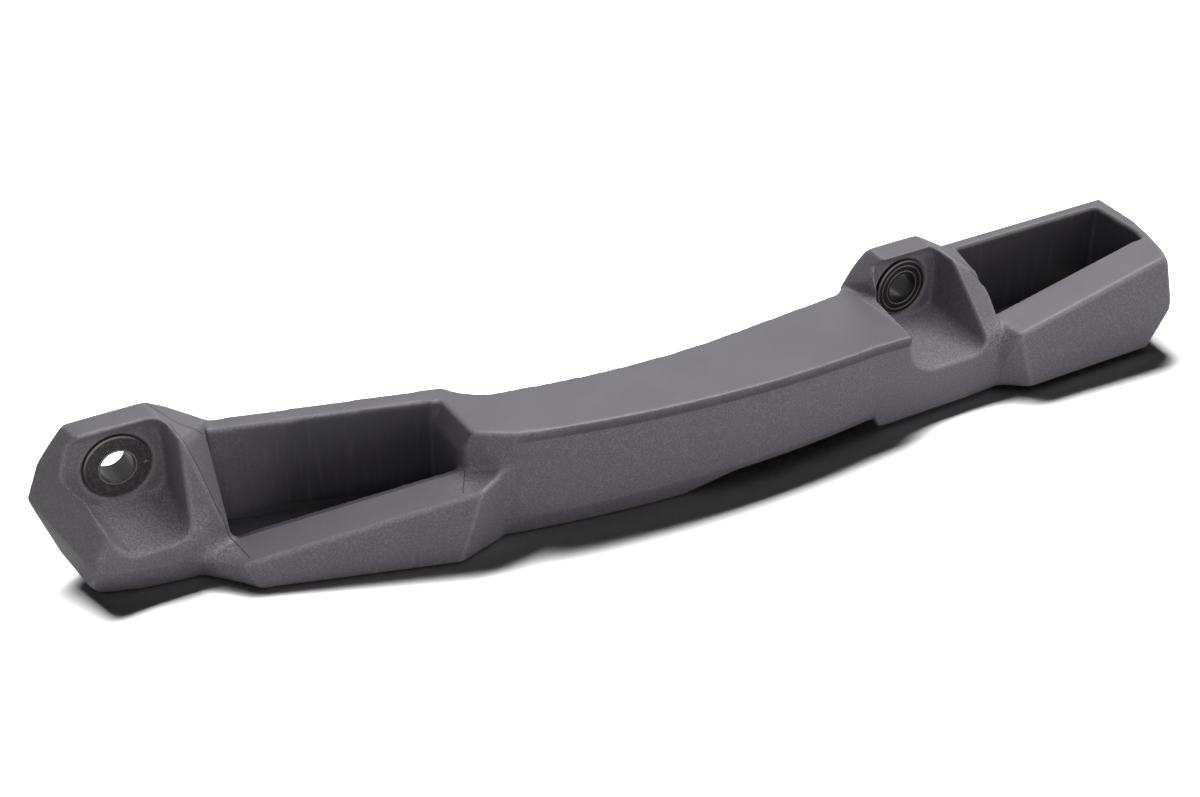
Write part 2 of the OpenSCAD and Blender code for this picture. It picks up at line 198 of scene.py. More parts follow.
@dataclass(frozen=True)
class MouldedNylon:
    """Glass-filled nylon, injection moulded in a spark-eroded and a mirror-finished mould.

    The front and lower faces carry the spark grain, which breaks their gloss into fine points. Tops
    and ledges are satin, so each catches the light as one sheet. The pockets come off a
    mirror-finished core; painted shade darkens them, more so further down, so they look deep and
    almost black. Places and sizes are in millimetres.
    """

    base: str = "#605d63"
    # pale colour for rubbing, smudges and painted highlights on the edges, the ledge ends and the
    # troughs
    rubbed_and_highlit: str = "#8a878d"
    spark: str = "#7d7a80"
    # dark colour of the painted shade in the pockets and on the lip
    deep_shade: str = "#232124"
    shade: str = "#2b292c"
    sand: str = "#8a7f6a"
    # the real grain is about 0.2 mm wide; it is drawn coarser and deeper so that it shows
    grain_mm: float = 0.5
    grain_height_mm: float = 0.12
    cloud_mm: float = 25.0
    scuff_mm: float = 1.6
    scuff_stretch: float = 14.0
    # sand is about 0.4 mm; its grains are drawn coarser so that they show
    grit_mm: float = 0.9
    satin_roughness: float = 0.44
    grain_roughness: float = 0.62
    ior: float = 1.53
    pockets: tuple[Region, ...] = (
        Region((24.2, -6.6, -29.5), (84.5, 11.6, 1.4), slope=0.321),
        Region((252.5, -38.6, -29.5), (313.0, -14.6, 1.2)),
    )
    recesses: tuple[Region, ...] = (
        Region((-17.0, -15.5, -22.0), (13.0, 1.0, 10.5)),
        Region((216.0, -46.5, -20.0), (245.0, -19.0, 8.0)),
    )
    dark_below_mm: tuple[float, float] = (-27.0, -20.0)
    floor_below_mm: tuple[float, float] = (-26.0, -24.0)
    lip_centre: Point = (165.0, 284.3, 0.0)
    lip_radius_mm: float = 332.4
    lip_slope: float = 0.035
    lip_low_mm: float = 2.5
    lip_start_mm: tuple[float, float] = (76.0, 110.0)
    lip_end_mm: float = 217.0
    lip_share: float = 0.6
    top_up: float = 0.85
    sand_at: Point = (228.5, -28.5, -13.6)
    sand_mm: tuple[float, float] = (1.0, 7.0)
    end_mm: tuple[float, float] = (2.0, 7.0)
    ledge_ends: tuple[Point, ...] = (
        (19.0, -17.5, -22.6),
        (79.5, -37.0, -9.5),
        (249.0, -46.0, -11.0),
        (12.0, -14.5, -14.0),
    )

    def material(self) -> bpy.types.Material:
        """Builds the material.

        Returns:
            The material, its grain fading out where the surface faces up.
        """
        material, tree = new_material("moulded_nylon")
        place = add(tree, "ShaderNodeTexCoord").outputs["Object"]
        normal = add(tree, "ShaderNodeNewGeometry").outputs["Normal"]
        up = add(tree, "ShaderNodeSeparateXYZ", links={0: normal}).outputs["Z"]
        pocket = self.either(tree, place, self.pockets)
        recess = self.either(tree, place, self.recesses)
        satin = add(tree, "ShaderNodeMapRange", links={0: up, 1: 0.55, 2: 0.9}).outputs[0]
        satin = add(
            tree,
            "ShaderNodeMath",
            {"operation": "SUBTRACT", "use_clamp": True},
            {0: satin, 1: recess},
        ).outputs[0]
        smooth = add(
            tree, "ShaderNodeMath", {"operation": "MAXIMUM"}, {0: satin, 1: pocket}
        ).outputs[0]
        grain = self.noise(tree, place, self.grain_mm)
        clouds = self.noise(tree, place, self.cloud_mm)
        strength = add(
            tree, "ShaderNodeMapRange", links={0: smooth, 3: 0.75, 4: 0.05}
        ).outputs[0]
        bump = add(
            tree,
            "ShaderNodeBump",
            links={
                "Strength": strength,
                "Distance": self.grain_height_mm * MM,
                "Height": grain,
            },
        ).outputs[0]
        rough = add(
            tree,
            "ShaderNodeMapRange",
            links={0: smooth, 3: self.grain_roughness, 4: self.satin_roughness},
        ).outputs[0]
        bottom = self.bottom(tree, place, pocket)
        rough = add(
            tree, "ShaderNodeMath", {"operation": "MAXIMUM"}, {0: rough, 1: bottom}
        ).outputs[0]
        # Some layers are painted light: highlights on the edges, the ledge ends and the troughs,
        # and shade in the pockets and on the lip.
        layers = [
            (self.sparks(tree, grain, smooth), self.spark),
            (self.worn_and_highlit(tree, grain), self.rubbed_and_highlit),
            (self.smudges(tree, clouds, satin), self.rubbed_and_highlit),
            (self.trough_highlight(tree, up, recess, grain), self.rubbed_and_highlit),
            (self.bright_ends(tree, place, grain), self.rubbed_and_highlit),
            (self.pocket_shade(tree, place, normal, pocket), self.deep_shade),
            (bottom, self.shade),
            (self.lip(tree, place, up), self.deep_shade),
            (self.dust(tree, place), self.sand),
        ]
        shader = add(
            tree,
            "ShaderNodeBsdfPrincipled",
            links={
                "Base Color": layered(tree, self.base, layers),
                "Roughness": rough,
                "IOR": self.ior,
                "Normal": bump,
            },
        )
        add(tree, "ShaderNodeOutputMaterial", links={0: shader.outputs[0]})
        return material

    @staticmethod
    def either(tree: Tree, place: Socket, regions: tuple[Region, ...]) -> Socket:
        """Marks with 1 what lies in one of the regions."""
        first, second = (region.mask(tree, place) for region in regions)
        return add(
            tree, "ShaderNodeMath", {"operation": "MAXIMUM"}, {0: first, 1: second}
        ).outputs[0]

    @staticmethod
    def noise(tree: Tree, place: Socket, size_mm: float, stretch: float = 1.0) -> Socket:
        """Makes a noise pattern.

        Args:
            tree: Tree of the material.
            place: Point on the part.
            size_mm: Size of the pattern.
            stretch: How much longer the pattern is along z.

        Returns:
            The noise, about 0.5 on average.
        """
        scale = 1 / (size_mm * MM)
        point = add(
            tree,
            "ShaderNodeVectorMath",
            {"operation": "MULTIPLY"},
            {0: place, 1: (scale, scale, scale / stretch)},
        ).outputs[0]
        return add(
            tree, "ShaderNodeTexNoise", links={"Vector": point, "Scale": 1.0, "Detail": 2.0}
        ).outputs[0]

    @staticmethod
    def sparks(tree: Tree, grain: Socket, smooth: Socket) -> Socket:
        """Lightens the tips of the grain, where the face isn't smooth.

        Args:
            tree: Tree of the material.
            grain: Height of the grain.
            smooth: 1 where the face is smooth.

        Returns:
            Share of the spark colour.
        """
        tips = add(tree, "ShaderNodeMapRange", links={0: grain, 1: 0.45, 2: 0.7}).outputs[0]
        room = add(tree, "ShaderNodeMapRange", links={0: smooth, 3: 0.7, 4: 0.12}).outputs[0]
        return add(
            tree, "ShaderNodeMath", {"operation": "MULTIPLY"}, {0: tips, 1: room}
        ).outputs[0]

    @staticmethod
    def worn_and_highlit(tree: Tree, grain: Socket) -> Socket:
        """Lightens the edges that hands and mould rub, in broken points, and paints a highlight on
        them as well.

        Args:
            tree: Tree of the material.
            grain: Height of the grain.

        Returns:
            Share of the rubbed colour.
        """
        wear_and_sheen = add(tree, "ShaderNodeAttribute", {"attribute_name": WEAR_AND_SHEEN}).outputs["Fac"]
        wear_and_sheen = add(
            tree, "ShaderNodeMapRange", links={0: wear_and_sheen, 1: 0.2, 2: 1.2, 3: 0.0, 4: 0.6}
        ).outputs[0]
        broken = add(
            tree, "ShaderNodeMapRange", links={0: grain, 1: 0.35, 2: 0.6, 3: 0.35, 4: 1.0}
        ).outputs[0]
        return add(
            tree, "ShaderNodeMath", {"operation": "MULTIPLY"}, {0: wear_and_sheen, 1: broken}
        ).outputs[0]

    def bright_ends(self, tree: Tree, place: Socket, grain: Socket) -> Socket:
        """Lightens the grain where the ledges run out and at the recess's lower corner, partly as
        rubbing and partly as a painted highlight.

        Args:
            tree: Tree of the material.
            place: Point on the part.
            grain: Height of the grain.

        Returns:
            Share of the rubbed colour.
        """
        full, none = self.end_mm
        share: Socket | float = 0.0
        for end in self.ledge_ends:
            away = add(
                tree, "ShaderNodeVectorMath", {"operation": "DISTANCE"}, {0: place, 1: in_mm(end)}
            ).outputs["Value"]
            near = add(
                tree,
                "ShaderNodeMapRange",
                links={0: away, 1: none * MM, 2: full * MM, 3: 0.0, 4: 0.9},
            ).outputs[0]
            share = add(
                tree, "ShaderNodeMath", {"operation": "MAXIMUM"}, {0: near, 1: share}
            ).outputs[0]
        tips = add(tree, "ShaderNodeMapRange", links={0: grain, 1: 0.4, 2: 0.62}).outputs[0]
        return add(
            tree, "ShaderNodeMath", {"operation": "MULTIPLY"}, {0: share, 1: tips}
        ).outputs[0]

    @staticmethod
    def smudges(tree: Tree, clouds: Socket, satin: Socket) -> Socket:
        """Lightens the satin faces a little in wide patches.

        Args:
            tree: Tree of the material.
            clouds: Wide noise.
            satin: 1 on the satin faces.

        Returns:
            Share of the rubbed colour.
        """
        share = add(
            tree, "ShaderNodeMapRange", links={0: clouds, 1: 0.35, 2: 0.7, 3: 0.0, 4: 0.16}
        ).outputs[0]
        return add(
            tree, "ShaderNodeMath", {"operation": "MULTIPLY"}, {0: share, 1: satin}
        ).outputs[0]

    @staticmethod
    def trough_highlight(tree: Tree, up: Socket, recess: Socket, grain: Socket) -> Socket:
        """Paints a highlight on the grain of the troughs where they face up, for the light that the
        grain catches.

        Args:
            tree: Tree of the material.
            up: How much the surface faces up.
            recess: 1 in the recesses.
            grain: Height of the grain.

        Returns:
            Share of the pale colour, here a painted highlight.
        """
        share: Socket | float = 0.6
        tips = add(tree, "ShaderNodeMapRange", links={0: grain, 1: 0.35, 2: 0.65}).outputs[0]
        facing = add(tree, "ShaderNodeMapRange", links={0: up, 1: 0.3, 2: 0.8}).outputs[0]
        for part in (tips, facing, recess):
            share = add(
                tree, "ShaderNodeMath", {"operation": "MULTIPLY"}, {0: part, 1: share}
            ).outputs[0]
        return share

    def bottom(self, tree: Tree, place: Socket, pocket: Socket) -> Socket:
        """Marks the pockets' floors, which are matt and lie in the ledges' shade.

        Args:
            tree: Tree of the material.
            place: Point on the part.
            pocket: 1 in the pockets.

        Returns:
            Share of the shade colour.
        """
        z = add(tree, "ShaderNodeSeparateXYZ", links={0: place}).outputs["Z"]
        full, none = self.floor_below_mm
        low = add(
            tree, "ShaderNodeMapRange", links={0: z, 1: none * MM, 2: full * MM}
        ).outputs[0]
        return add(
            tree, "ShaderNodeMath", {"operation": "MULTIPLY"}, {0: low, 1: pocket}
        ).outputs[0]

    def pocket_shade(self, tree: Tree, place: Socket, normal: Socket, pocket: Socket) -> Socket:
        """Paints shade into the pockets, more so further down, but for faint upright scuffs.

        The end walls face the light that falls in along the pocket, so they stay paler.

        Args:
            tree: Tree of the material.
            place: Point on the part.
            normal: Direction that the surface faces.
            pocket: 1 in the pockets.

        Returns:
            Share of the painted shade colour.
        """
        z = add(tree, "ShaderNodeSeparateXYZ", links={0: place}).outputs["Z"]
        full, none = self.dark_below_mm
        share = add(
            tree,
            "ShaderNodeMapRange",
            links={0: z, 1: full * MM, 2: none * MM, 3: 1.0, 4: 0.72},
        ).outputs[0]
        along = add(tree, "ShaderNodeSeparateXYZ", links={0: normal}).outputs["X"]
        paler = add(
            tree, "ShaderNodeMapRange", links={0: along, 1: -0.9, 2: -0.5, 3: 0.3, 4: 1.0}
        ).outputs[0]
        share = add(
            tree, "ShaderNodeMath", {"operation": "MULTIPLY"}, {0: share, 1: paler}
        ).outputs[0]
        scuffs = self.noise(tree, place, self.scuff_mm, self.scuff_stretch)
        kept = add(
            tree, "ShaderNodeMapRange", links={0: scuffs, 1: 0.58, 2: 0.75, 3: 1.0, 4: 0.72}
        ).outputs[0]
        share = add(
            tree, "ShaderNodeMath", {"operation": "MULTIPLY"}, {0: share, 1: kept}
        ).outputs[0]
        return add(
            tree, "ShaderNodeMath", {"operation": "MULTIPLY"}, {0: share, 1: pocket}
        ).outputs[0]

    def lip(self, tree: Tree, place: Socket, up: Socket) -> Socket:
        """Darkens the narrow lip along the top of the bar's front face with painted shade, the
        shadow below its overhang.

        Args:
            tree: Tree of the material.
            place: Point on the part.
            up: How much the surface faces up.

        Returns:
            Share of the painted shade colour.
        """
        x, y, z = add(tree, "ShaderNodeSeparateXYZ", links={0: place}).outputs
        flat = add(tree, "ShaderNodeCombineXYZ", links={0: x, 1: y}).outputs[0]
        reach = add(
            tree,
            "ShaderNodeVectorMath",
            {"operation": "DISTANCE"},
            {0: flat, 1: in_mm(self.lip_centre)},
        ).outputs["Value"]
        height = add(
            tree, "ShaderNodeMath", {"operation": "MULTIPLY_ADD"}, {0: x, 1: self.lip_slope, 2: z}
        ).outputs[0]
        tests = (
            (reach, self.lip_radius_mm * MM, "GREATER_THAN"),
            (height, self.lip_low_mm * MM, "GREATER_THAN"),
            (x, self.lip_end_mm * MM, "LESS_THAN"),
            (up, self.top_up, "LESS_THAN"),
        )
        start, full = self.lip_start_mm
        share = add(
            tree,
            "ShaderNodeMapRange",
            links={0: x, 1: start * MM, 2: full * MM, 4: self.lip_share},
        ).outputs[0]
        for value, bound, operation in tests:
            held = add(
                tree, "ShaderNodeMath", {"operation": operation}, {0: value, 1: bound}
            ).outputs[0]
            share = add(
                tree, "ShaderNodeMath", {"operation": "MULTIPLY"}, {0: held, 1: share}
            ).outputs[0]
        return share

    def dust(self, tree: Tree, place: Socket) -> Socket:
        """Leaves a little sand below the rear bush.

        Args:
            tree: Tree of the material.
            place: Point on the part.

        Returns:
            Share of the sand colour.
        """
        full, none = self.sand_mm
        away = add(
            tree,
            "ShaderNodeVectorMath",
            {"operation": "DISTANCE"},
            {0: place, 1: in_mm(self.sand_at)},
        ).outputs["Value"]
        near = add(
            tree,
            "ShaderNodeMapRange",
            links={0: away, 1: none * MM, 2: full * MM, 3: 0.0, 4: 0.6},
        ).outputs[0]
        grit = self.noise(tree, place, self.grit_mm)
        grit = add(tree, "ShaderNodeMapRange", links={0: grit, 1: 0.48, 2: 0.62}).outputs[0]
        return add(
            tree, "ShaderNodeMath", {"operation": "MULTIPLY"}, {0: near, 1: grit}
        ).outputs[0]


@dataclass(frozen=True)
class PlatedSteel:
    """Free-cutting steel, turned, zinc plated and passivated, now dull.

    The flange is mottled with dirt and olive specks. The turned corners at its rim and bore, and
    its turned rings, are drawn lighter, partly as rubbing and partly as a painted highlight. The
    bore shines where the bolt rubs it, and its colour is a painted shade. Sizes are in millimetres.
    """

    name: str
    axis: Point
    base: str = "#494749"
    dirt: str = "#363436"
    speck: str = "#948a66"
    # lighter rings: partly rubbing, partly a painted highlight on the turned corners
    rubbing_and_glint: str = "#8a8782"
    # painted shade inside the bore
    bore_shade: str = "#343233"
    speck_mm: float = 1.3
    dent_mm: float = 0.05
    bore_mm: tuple[float, float] = (4.6, 4.75)
    rings: tuple[float, ...] = (8.5, 4.8)
    ring_half: float = 0.2
    ring_share: float = 0.6

    def material(self) -> bpy.types.Material:
        """Builds the material.

        Returns:
            The material, mottled on the flange and shiny in the bore.
        """
        material, tree = new_material(self.name)
        place = add(tree, "ShaderNodeTexCoord").outputs["Object"]
        flat = add(
            tree, "ShaderNodeVectorMath", {"operation": "MULTIPLY"}, {0: place, 1: (1, 0, 1)}
        ).outputs[0]
        reach = add(
            tree,
            "ShaderNodeVectorMath",
            {"operation": "DISTANCE"},
            {0: flat, 1: in_mm(self.axis)},
        ).outputs["Value"]
        mottle = add(
            tree,
            "ShaderNodeTexNoise",
            links={"Vector": place, "Scale": 1 / (self.speck_mm * MM), "Detail": 4.0},
        ).outputs[0]
        dirty = add(tree, "ShaderNodeMapRange", links={0: mottle, 1: 0.4, 2: 0.6}).outputs[0]
        full, none = self.bore_mm
        bore = add(
            tree, "ShaderNodeMapRange", links={0: reach, 1: none * MM, 2: full * MM}
        ).outputs[0]
        layers = [
            (dirty, self.dirt),
            (self.specks(tree, place, mottle), self.speck),
            *((self.ring(tree, reach, radius), self.rubbing_and_glint) for radius in self.rings),
            # the bore's colour is painted shade
            (bore, self.bore_shade),
        ]
        rough = add(tree, "ShaderNodeMapRange", links={0: bore, 3: 0.55, 4: 0.3}).outputs[0]
        bump = add(
            tree,
            "ShaderNodeBump",
            links={"Strength": 0.3, "Distance": self.dent_mm * MM, "Height": mottle},
        ).outputs[0]
        shader = add(
            tree,
            "ShaderNodeBsdfPrincipled",
            links={
                "Base Color": layered(tree, self.base, layers),
                "Metallic": 0.85,
                "Roughness": rough,
                "Normal": bump,
            },
        )
        add(tree, "ShaderNodeOutputMaterial", links={0: shader.outputs[0]})
        return material

    def ring(self, tree: Tree, reach: Socket, radius: float) -> Socket:
        """Marks a turned ring, drawn lighter partly as rubbing and partly as a painted highlight.

        Args:
            tree: Tree of the material.
            reach: Distance from the axis.
            radius: Radius of the ring.

        Returns:
            Share of the bright colour, which is 0 off the ring.
        """
        mark = add(
            tree,
            "ShaderNodeMath",
            {"operation": "COMPARE"},
            {0: reach, 1: radius * MM, 2: self.ring_half * MM},
        ).outputs[0]
        return add(
            tree, "ShaderNodeMath", {"operation": "MULTIPLY"}, {0: mark, 1: self.ring_share}
        ).outputs[0]

    def specks(self, tree: Tree, place: Socket, mottle: Socket) -> Socket:
        """Marks the specks of plating, most of them at the upper right of the flange.

        Args:
            tree: Tree of the material.
            place: Point on the part.
            mottle: Noise of the dirt.

        Returns:
            Share of the speck colour.
        """
        side = add(
            tree, "ShaderNodeVectorMath", {"operation": "SUBTRACT"}, {0: place, 1: in_mm(self.axis)}
        ).outputs[0]
        side = add(
            tree, "ShaderNodeVectorMath", {"operation": "DOT_PRODUCT"}, {0: side, 1: (0.7, 0, 0.7)}
        ).outputs["Value"]
        room = add(
            tree, "ShaderNodeMapRange", links={0: side, 1: -5 * MM, 2: 7 * MM, 3: 0.15, 4: 0.9}
        ).outputs[0]
        mark = add(tree, "ShaderNodeMapRange", links={0: mottle, 1: 0.6, 2: 0.68}).outputs[0]
        return add(
            tree, "ShaderNodeMath", {"operation": "MULTIPLY"}, {0: mark, 1: room}
        ).outputs[0]


@dataclass(frozen=True)
class SoftSpot:
    """Ball in which the mould's edges run into each other softly, in millimetres."""

    centre: Point
    radius: float
    share: float = 0.9


@dataclass(frozen=True)
class MouldRounding:
    """Rounding of every edge, as a mould has it, made with modifiers alone.

    The share is the blur's weight away from the soft spots, and the depth for full marks is how far
    a point there has to move in to get the full rubbing and painted highlight on its edge.
    """

    voxel: float = 0.45 * MM
    passes: int = 48
    share: float = 0.05
    keep: float = 0.3
    worn_and_highlit: float = 0.12 * MM
    spots: tuple[SoftSpot, ...] = (
        SoftSpot((20.0, -18.0, -26.0), 12.0),
        SoftSpot((13.0, -15.0, -24.0), 8.0),
        SoftSpot((-14.0, -15.0, -19.0), 6.0),
        SoftSpot((-8.0, -12.0, -8.0), 10.0),
        SoftSpot((-12.5, -6.0, -1.5), 6.5),
        SoftSpot((-10.5, -12.0, -6.5), 6.0),
        SoftSpot((248.0, -47.0, -27.0), 11.0),
        SoftSpot((92.0, -40.3, -6.5), 8.0),
        SoftSpot((92.0, -40.3, -14.0), 8.0),
        SoftSpot((92.0, -40.3, -21.5), 8.0),
        SoftSpot((250.0, -32.6, 1.5), 4.0),
    )

    def apply(self, node: bpy.types.Object) -> None:
        """Adds the modifiers to a CAD node.

        Args:
            node: CAD node whose edges are rounded.
        """
        remesh = node.modifiers.new("even_faces", "REMESH")
        remesh.mode = "VOXEL"
        remesh.voxel_size = self.voxel
        remesh.use_smooth_shade = True
        soften = node.modifiers.new("rounded_edges", "NODES")
        soften.node_group = self.soften_group()
        fewer = node.modifiers.new("fewer_faces", "DECIMATE")
        fewer.ratio = self.keep

    def soften_group(self) -> Tree:
        """Builds the group that draws points together, most of all in the soft spots.

        It notes how far each point moves in, which marks the edges that get rubbing and a painted
        highlight.

        Returns:
            The node group.
        """
        tree = bpy.data.node_groups.new("rounded_edges", "GeometryNodeTree")
        for way in ("INPUT", "OUTPUT"):
            tree.interface.new_socket(
                "Geometry", in_out=way, socket_type="NodeSocketGeometry"
            )
        mesh = add(tree, "NodeGroupInput").outputs[0]
        place = add(tree, "GeometryNodeInputPosition").outputs[0]
        weight: Socket | float = self.share
        for spot in self.spots:
            away = add(
                tree,
                "ShaderNodeVectorMath",
                {"operation": "DISTANCE"},
                {0: place, 1: in_mm(spot.centre)},
            ).outputs["Value"]
            near = add(
                tree,
                "ShaderNodeMapRange",
                {"interpolation_type": "SMOOTHSTEP"},
                {0: away, 1: 0.0, 2: spot.radius * MM, 3: spot.share, 4: 0.0},
            ).outputs[0]
            weight = add(
                tree, "ShaderNodeMath", {"operation": "MAXIMUM"}, {0: near, 1: weight}
            ).outputs[0]
        blurred = add(
            tree,
            "GeometryNodeBlurAttribute",
            {"data_type": "FLOAT_VECTOR"},
            {0: place, 1: self.passes, 2: weight},
        ).outputs[0]
        inwards = add(
            tree, "ShaderNodeVectorMath", {"operation": "SUBTRACT"}, {0: place, 1: blurred}
        ).outputs[0]
        normal = add(tree, "GeometryNodeInputNormal").outputs[0]
        depth = add(
            tree, "ShaderNodeVectorMath", {"operation": "DOT_PRODUCT"}, {0: inwards, 1: normal}
        ).outputs["Value"]
        full = add(
            tree,
            "ShaderNodeMath",
            {"operation": "MULTIPLY"},
            {0: weight, 1: self.worn_and_highlit / self.share},
        ).outputs[0]
        wear_and_sheen = add(
            tree, "ShaderNodeMath", {"operation": "DIVIDE"}, {0: depth, 1: full}
        ).outputs[0]
        noted = add(
            tree,
            "GeometryNodeStoreNamedAttribute",
            {"data_type": "FLOAT", "domain": "POINT"},
            {"Geometry": mesh, "Name": WEAR_AND_SHEEN, "Value": wear_and_sheen},
        ).outputs[0]
        moved = add(tree, "GeometryNodeSetPosition", links={0: noted, 2: blurred}).outputs[0]
        add(tree, "NodeGroupOutput", links={0: moved})
        return tree


def use(node: bpy.types.Object, material: bpy.types.Material) -> None:
    """Gives a node one material in place of its own."""
    node.data.materials.clear()
    node.data.materials.append(material)


@dataclass(frozen=True)
class Bead:
    """Round bead along a path, which rides on the body."""

    name: str
    slot: str
    radius_mm: float
    closed: bool = False
    sides: int = 8

    def build(self, path: list[Vector], material: bpy.types.Material) -> bpy.types.Object:
        """Builds the bead.

        Args:
            path: Points of its centre line, in metres.
            material: Its finish.

        Returns:
            The new piece.
        """
        count = len(path)
        corners: list[Vector] = []
        for i, point in enumerate(path):
            before = path[(i - 1) % count] if self.closed or i else point
            after = path[(i + 1) % count] if self.closed or i < count - 1 else point
            turn = (after - before).to_track_quat("Z", "Y")
            for k in range(self.sides):
                angle = 2 * math.pi * k / self.sides
                arm = Vector((math.cos(angle), math.sin(angle), 0)) * self.radius_mm * MM
                corners.append(point + turn @ arm)
        faces: list[tuple[int, ...]] = []
        for i in range(count if self.closed else count - 1):
            a, b = i * self.sides, (i + 1) % count * self.sides
            for k in range(self.sides):
                n = (k + 1) % self.sides
                faces.append((a + k, a + n, b + n, b + k))
        if not self.closed:
            faces.append(tuple(reversed(range(self.sides))))
            faces.append(tuple(range((count - 1) * self.sides, count * self.sides)))
        mesh = bpy.data.meshes.new(self.name)
        mesh.from_pydata(corners, [], faces)
        mesh.shade_smooth()
        mesh.materials.append(material)
        piece = bpy.data.objects.new(self.name, mesh)
        bpy.context.scene.collection.objects.link(piece)
        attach(piece, "root")
        return piece


@dataclass
class HandleBody:
    """Moulded body with its rounded edges and the parting lines of its mould."""

    node: str = "handle_body"
    finish: MouldedNylon = field(default_factory=MouldedNylon)
    rounding: MouldRounding = field(default_factory=MouldRounding)
    line_radius_mm: float = 0.14
    line_step_mm: float = 1.0
    line_sunk: float = 0.4
    line_colour: str = "#2c2a2d"
    lines: dict[str, tuple[Point, ...]] = field(
        default_factory=lambda: {
            "front_lug": (
                (10.6, 6.4, 12.6), (11.3, 3.9, 12.5), (13.0, 1.8, 11.3), (14.9, -1.4, 10.0),
                (16.6, -2.8, 8.4), (19.0, -2.4, 6.6), (22.8, 0.4, 2.3),
            ),
            "front_rib": (
                (13.3, -5.0, 11.4), (13.2, -9.6, 11.6), (13.6, -13.0, 10.8),
                (14.9, -13.6, 7.4), (16.9, -13.0, 1.0), (18.7, -13.2, -6.1),
                (19.8, -13.4, -10.4), (21.0, -12.9, -14.6), (21.8, -13.2, -18.0),
                (22.5, -13.6, -21.1), (23.1, -16.8, -22.0), (23.6, -23.7, -21.9),
            ),
            "front_ledge": ((80.6, -32.5, -9.4), (78.3, -36.5, -9.9), (76.1, -40.2, -10.4)),
            "rear_lug": (
                (243.0, -12.0, 4.6), (247.9, -15.6, 4.6), (249.2, -20.4, 3.8),
                (248.4, -26.8, 4.0), (248.6, -30.9, 3.2), (250.4, -33.6, 0.9),
            ),
        }
    )

    def build(self) -> list[bpy.types.Object]:
        """Rounds the body, dresses it and lays the parting lines on it.

        Returns:
            The pieces that were added.
        """
        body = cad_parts[self.node]
        use(body, self.finish.material())
        self.rounding.apply(body)
        log.info("%s rounded and dressed", self.node)
        skin = BVHTree.FromObject(body, bpy.context.evaluated_depsgraph_get())
        witness = self.line_material()
        pieces: list[bpy.types.Object] = []
        for name, corners in self.lines.items():
            bead = Bead(f"parting_line_{name}", "handle_plastic", self.line_radius_mm)
            pieces.append(bead.build(self.laid(corners, skin), witness))
            log.info("parting line %s laid", name)
        return pieces

    def laid(self, corners: tuple[Point, ...], skin: BVHTree) -> list[Vector]:
        """Lays a line on the body.

        Args:
            corners: Points near the body, in millimetres.
            skin: The rounded body.

        Returns:
            Evenly spaced points, a little below the skin.
        """
        path: list[Vector] = []
        for start, end in zip(corners, corners[1:]):
            first, last = Vector(start) * MM, Vector(end) * MM
            steps = max(1, round((last - first).length / (self.line_step_mm * MM)))
            path += [first.lerp(last, i / steps) for i in range(steps)]
        path.append(Vector(corners[-1]) * MM)
        hits = [skin.find_nearest(point) for point in path]
        return [hit[0] - hit[1] * self.line_radius_mm * self.line_sunk * MM for hit in hits]

    def line_material(self) -> bpy.types.Material:
        """Builds the dark, matt finish of the line where two parts of the mould met.

        Returns:
            The material.
        """
        material, tree = new_material("mould_line")
        shader = add(
            tree,
            "ShaderNodeBsdfPrincipled",
            links={"Base Color": to_linear(self.line_colour), "Roughness": 0.7, "IOR": 1.53},
        )
        add(tree, "ShaderNodeOutputMaterial", links={0: shader.outputs[0]})
        return material


@dataclass
class Bush:
    """Flanged steel bush of one lug, with turned rings where the photograph shows them."""

    side: Side
    finish: PlatedSteel
    face: Point
    edge_mm: float = 0.25
    edge_angle_deg: float = 35.0
    rings_mm: tuple[float, ...] = ()
    ring_radius_mm: float = 0.16

    def build(self) -> list[bpy.types.Object]:
        """Breaks the bush's edges and dresses it.

        Returns:
            The pieces that were added.
        """
        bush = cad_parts[f"{self.side.value}_bush"]
        material = self.finish.material()
        use(bush, material)
        bevel = bush.modifiers.new("broken_edges", "BEVEL")
        bevel.width = self.edge_mm * MM
        bevel.segments = 2
        bevel.limit_method = "ANGLE"
        bevel.angle_limit = math.radians(self.edge_angle_deg)
        log.info("%s bush dressed", self.side.value)
        pieces: list[bpy.types.Object] = []
        for radius in self.rings_mm:
            bead = Bead(
                f"{self.side.value}_bush_ring_{radius * 10:.0f}",
                "bush_steel",
                self.ring_radius_mm,
                closed=True,
            )
            path = [
                Vector(in_mm(self.face))
                + Matrix.Rotation(math.radians(a), 3, "Y") @ Vector((radius * MM, 0, 0))
                for a in range(0, 360, 6)
            ]
            pieces.append(bead.build(path, material))
            log.info("ring of %s mm on the %s bush", radius, self.side.value)
        return pieces


@dataclass(frozen=True)
class Softbox:
    """Rectangular lamp that faces the handle."""

    name: str
    place: Point
    size: tuple[float, float]
    watts: float
    target: Target = Target.HANDLE

    def build(self, aim: Point, lit: bpy.types.Collection) -> None:
        """Adds the lamp to the scene.

        Args:
            aim: Point that the lamp faces.
            lit: What the lamp lights.
        """
        data = bpy.data.lights.new(self.name, "AREA")
        data.shape = "RECTANGLE"
        data.size, data.size_y = self.size
        data.energy = self.watts
        lamp = bpy.data.objects.new(self.name, data)
        lamp.location = self.place
        facing = Vector(aim) - Vector(self.place)
        lamp.rotation_euler = facing.to_track_quat("-Z", "Y").to_euler()
        bpy.context.scene.collection.objects.link(lamp)
        lamp.light_linking.receiver_collection = lit


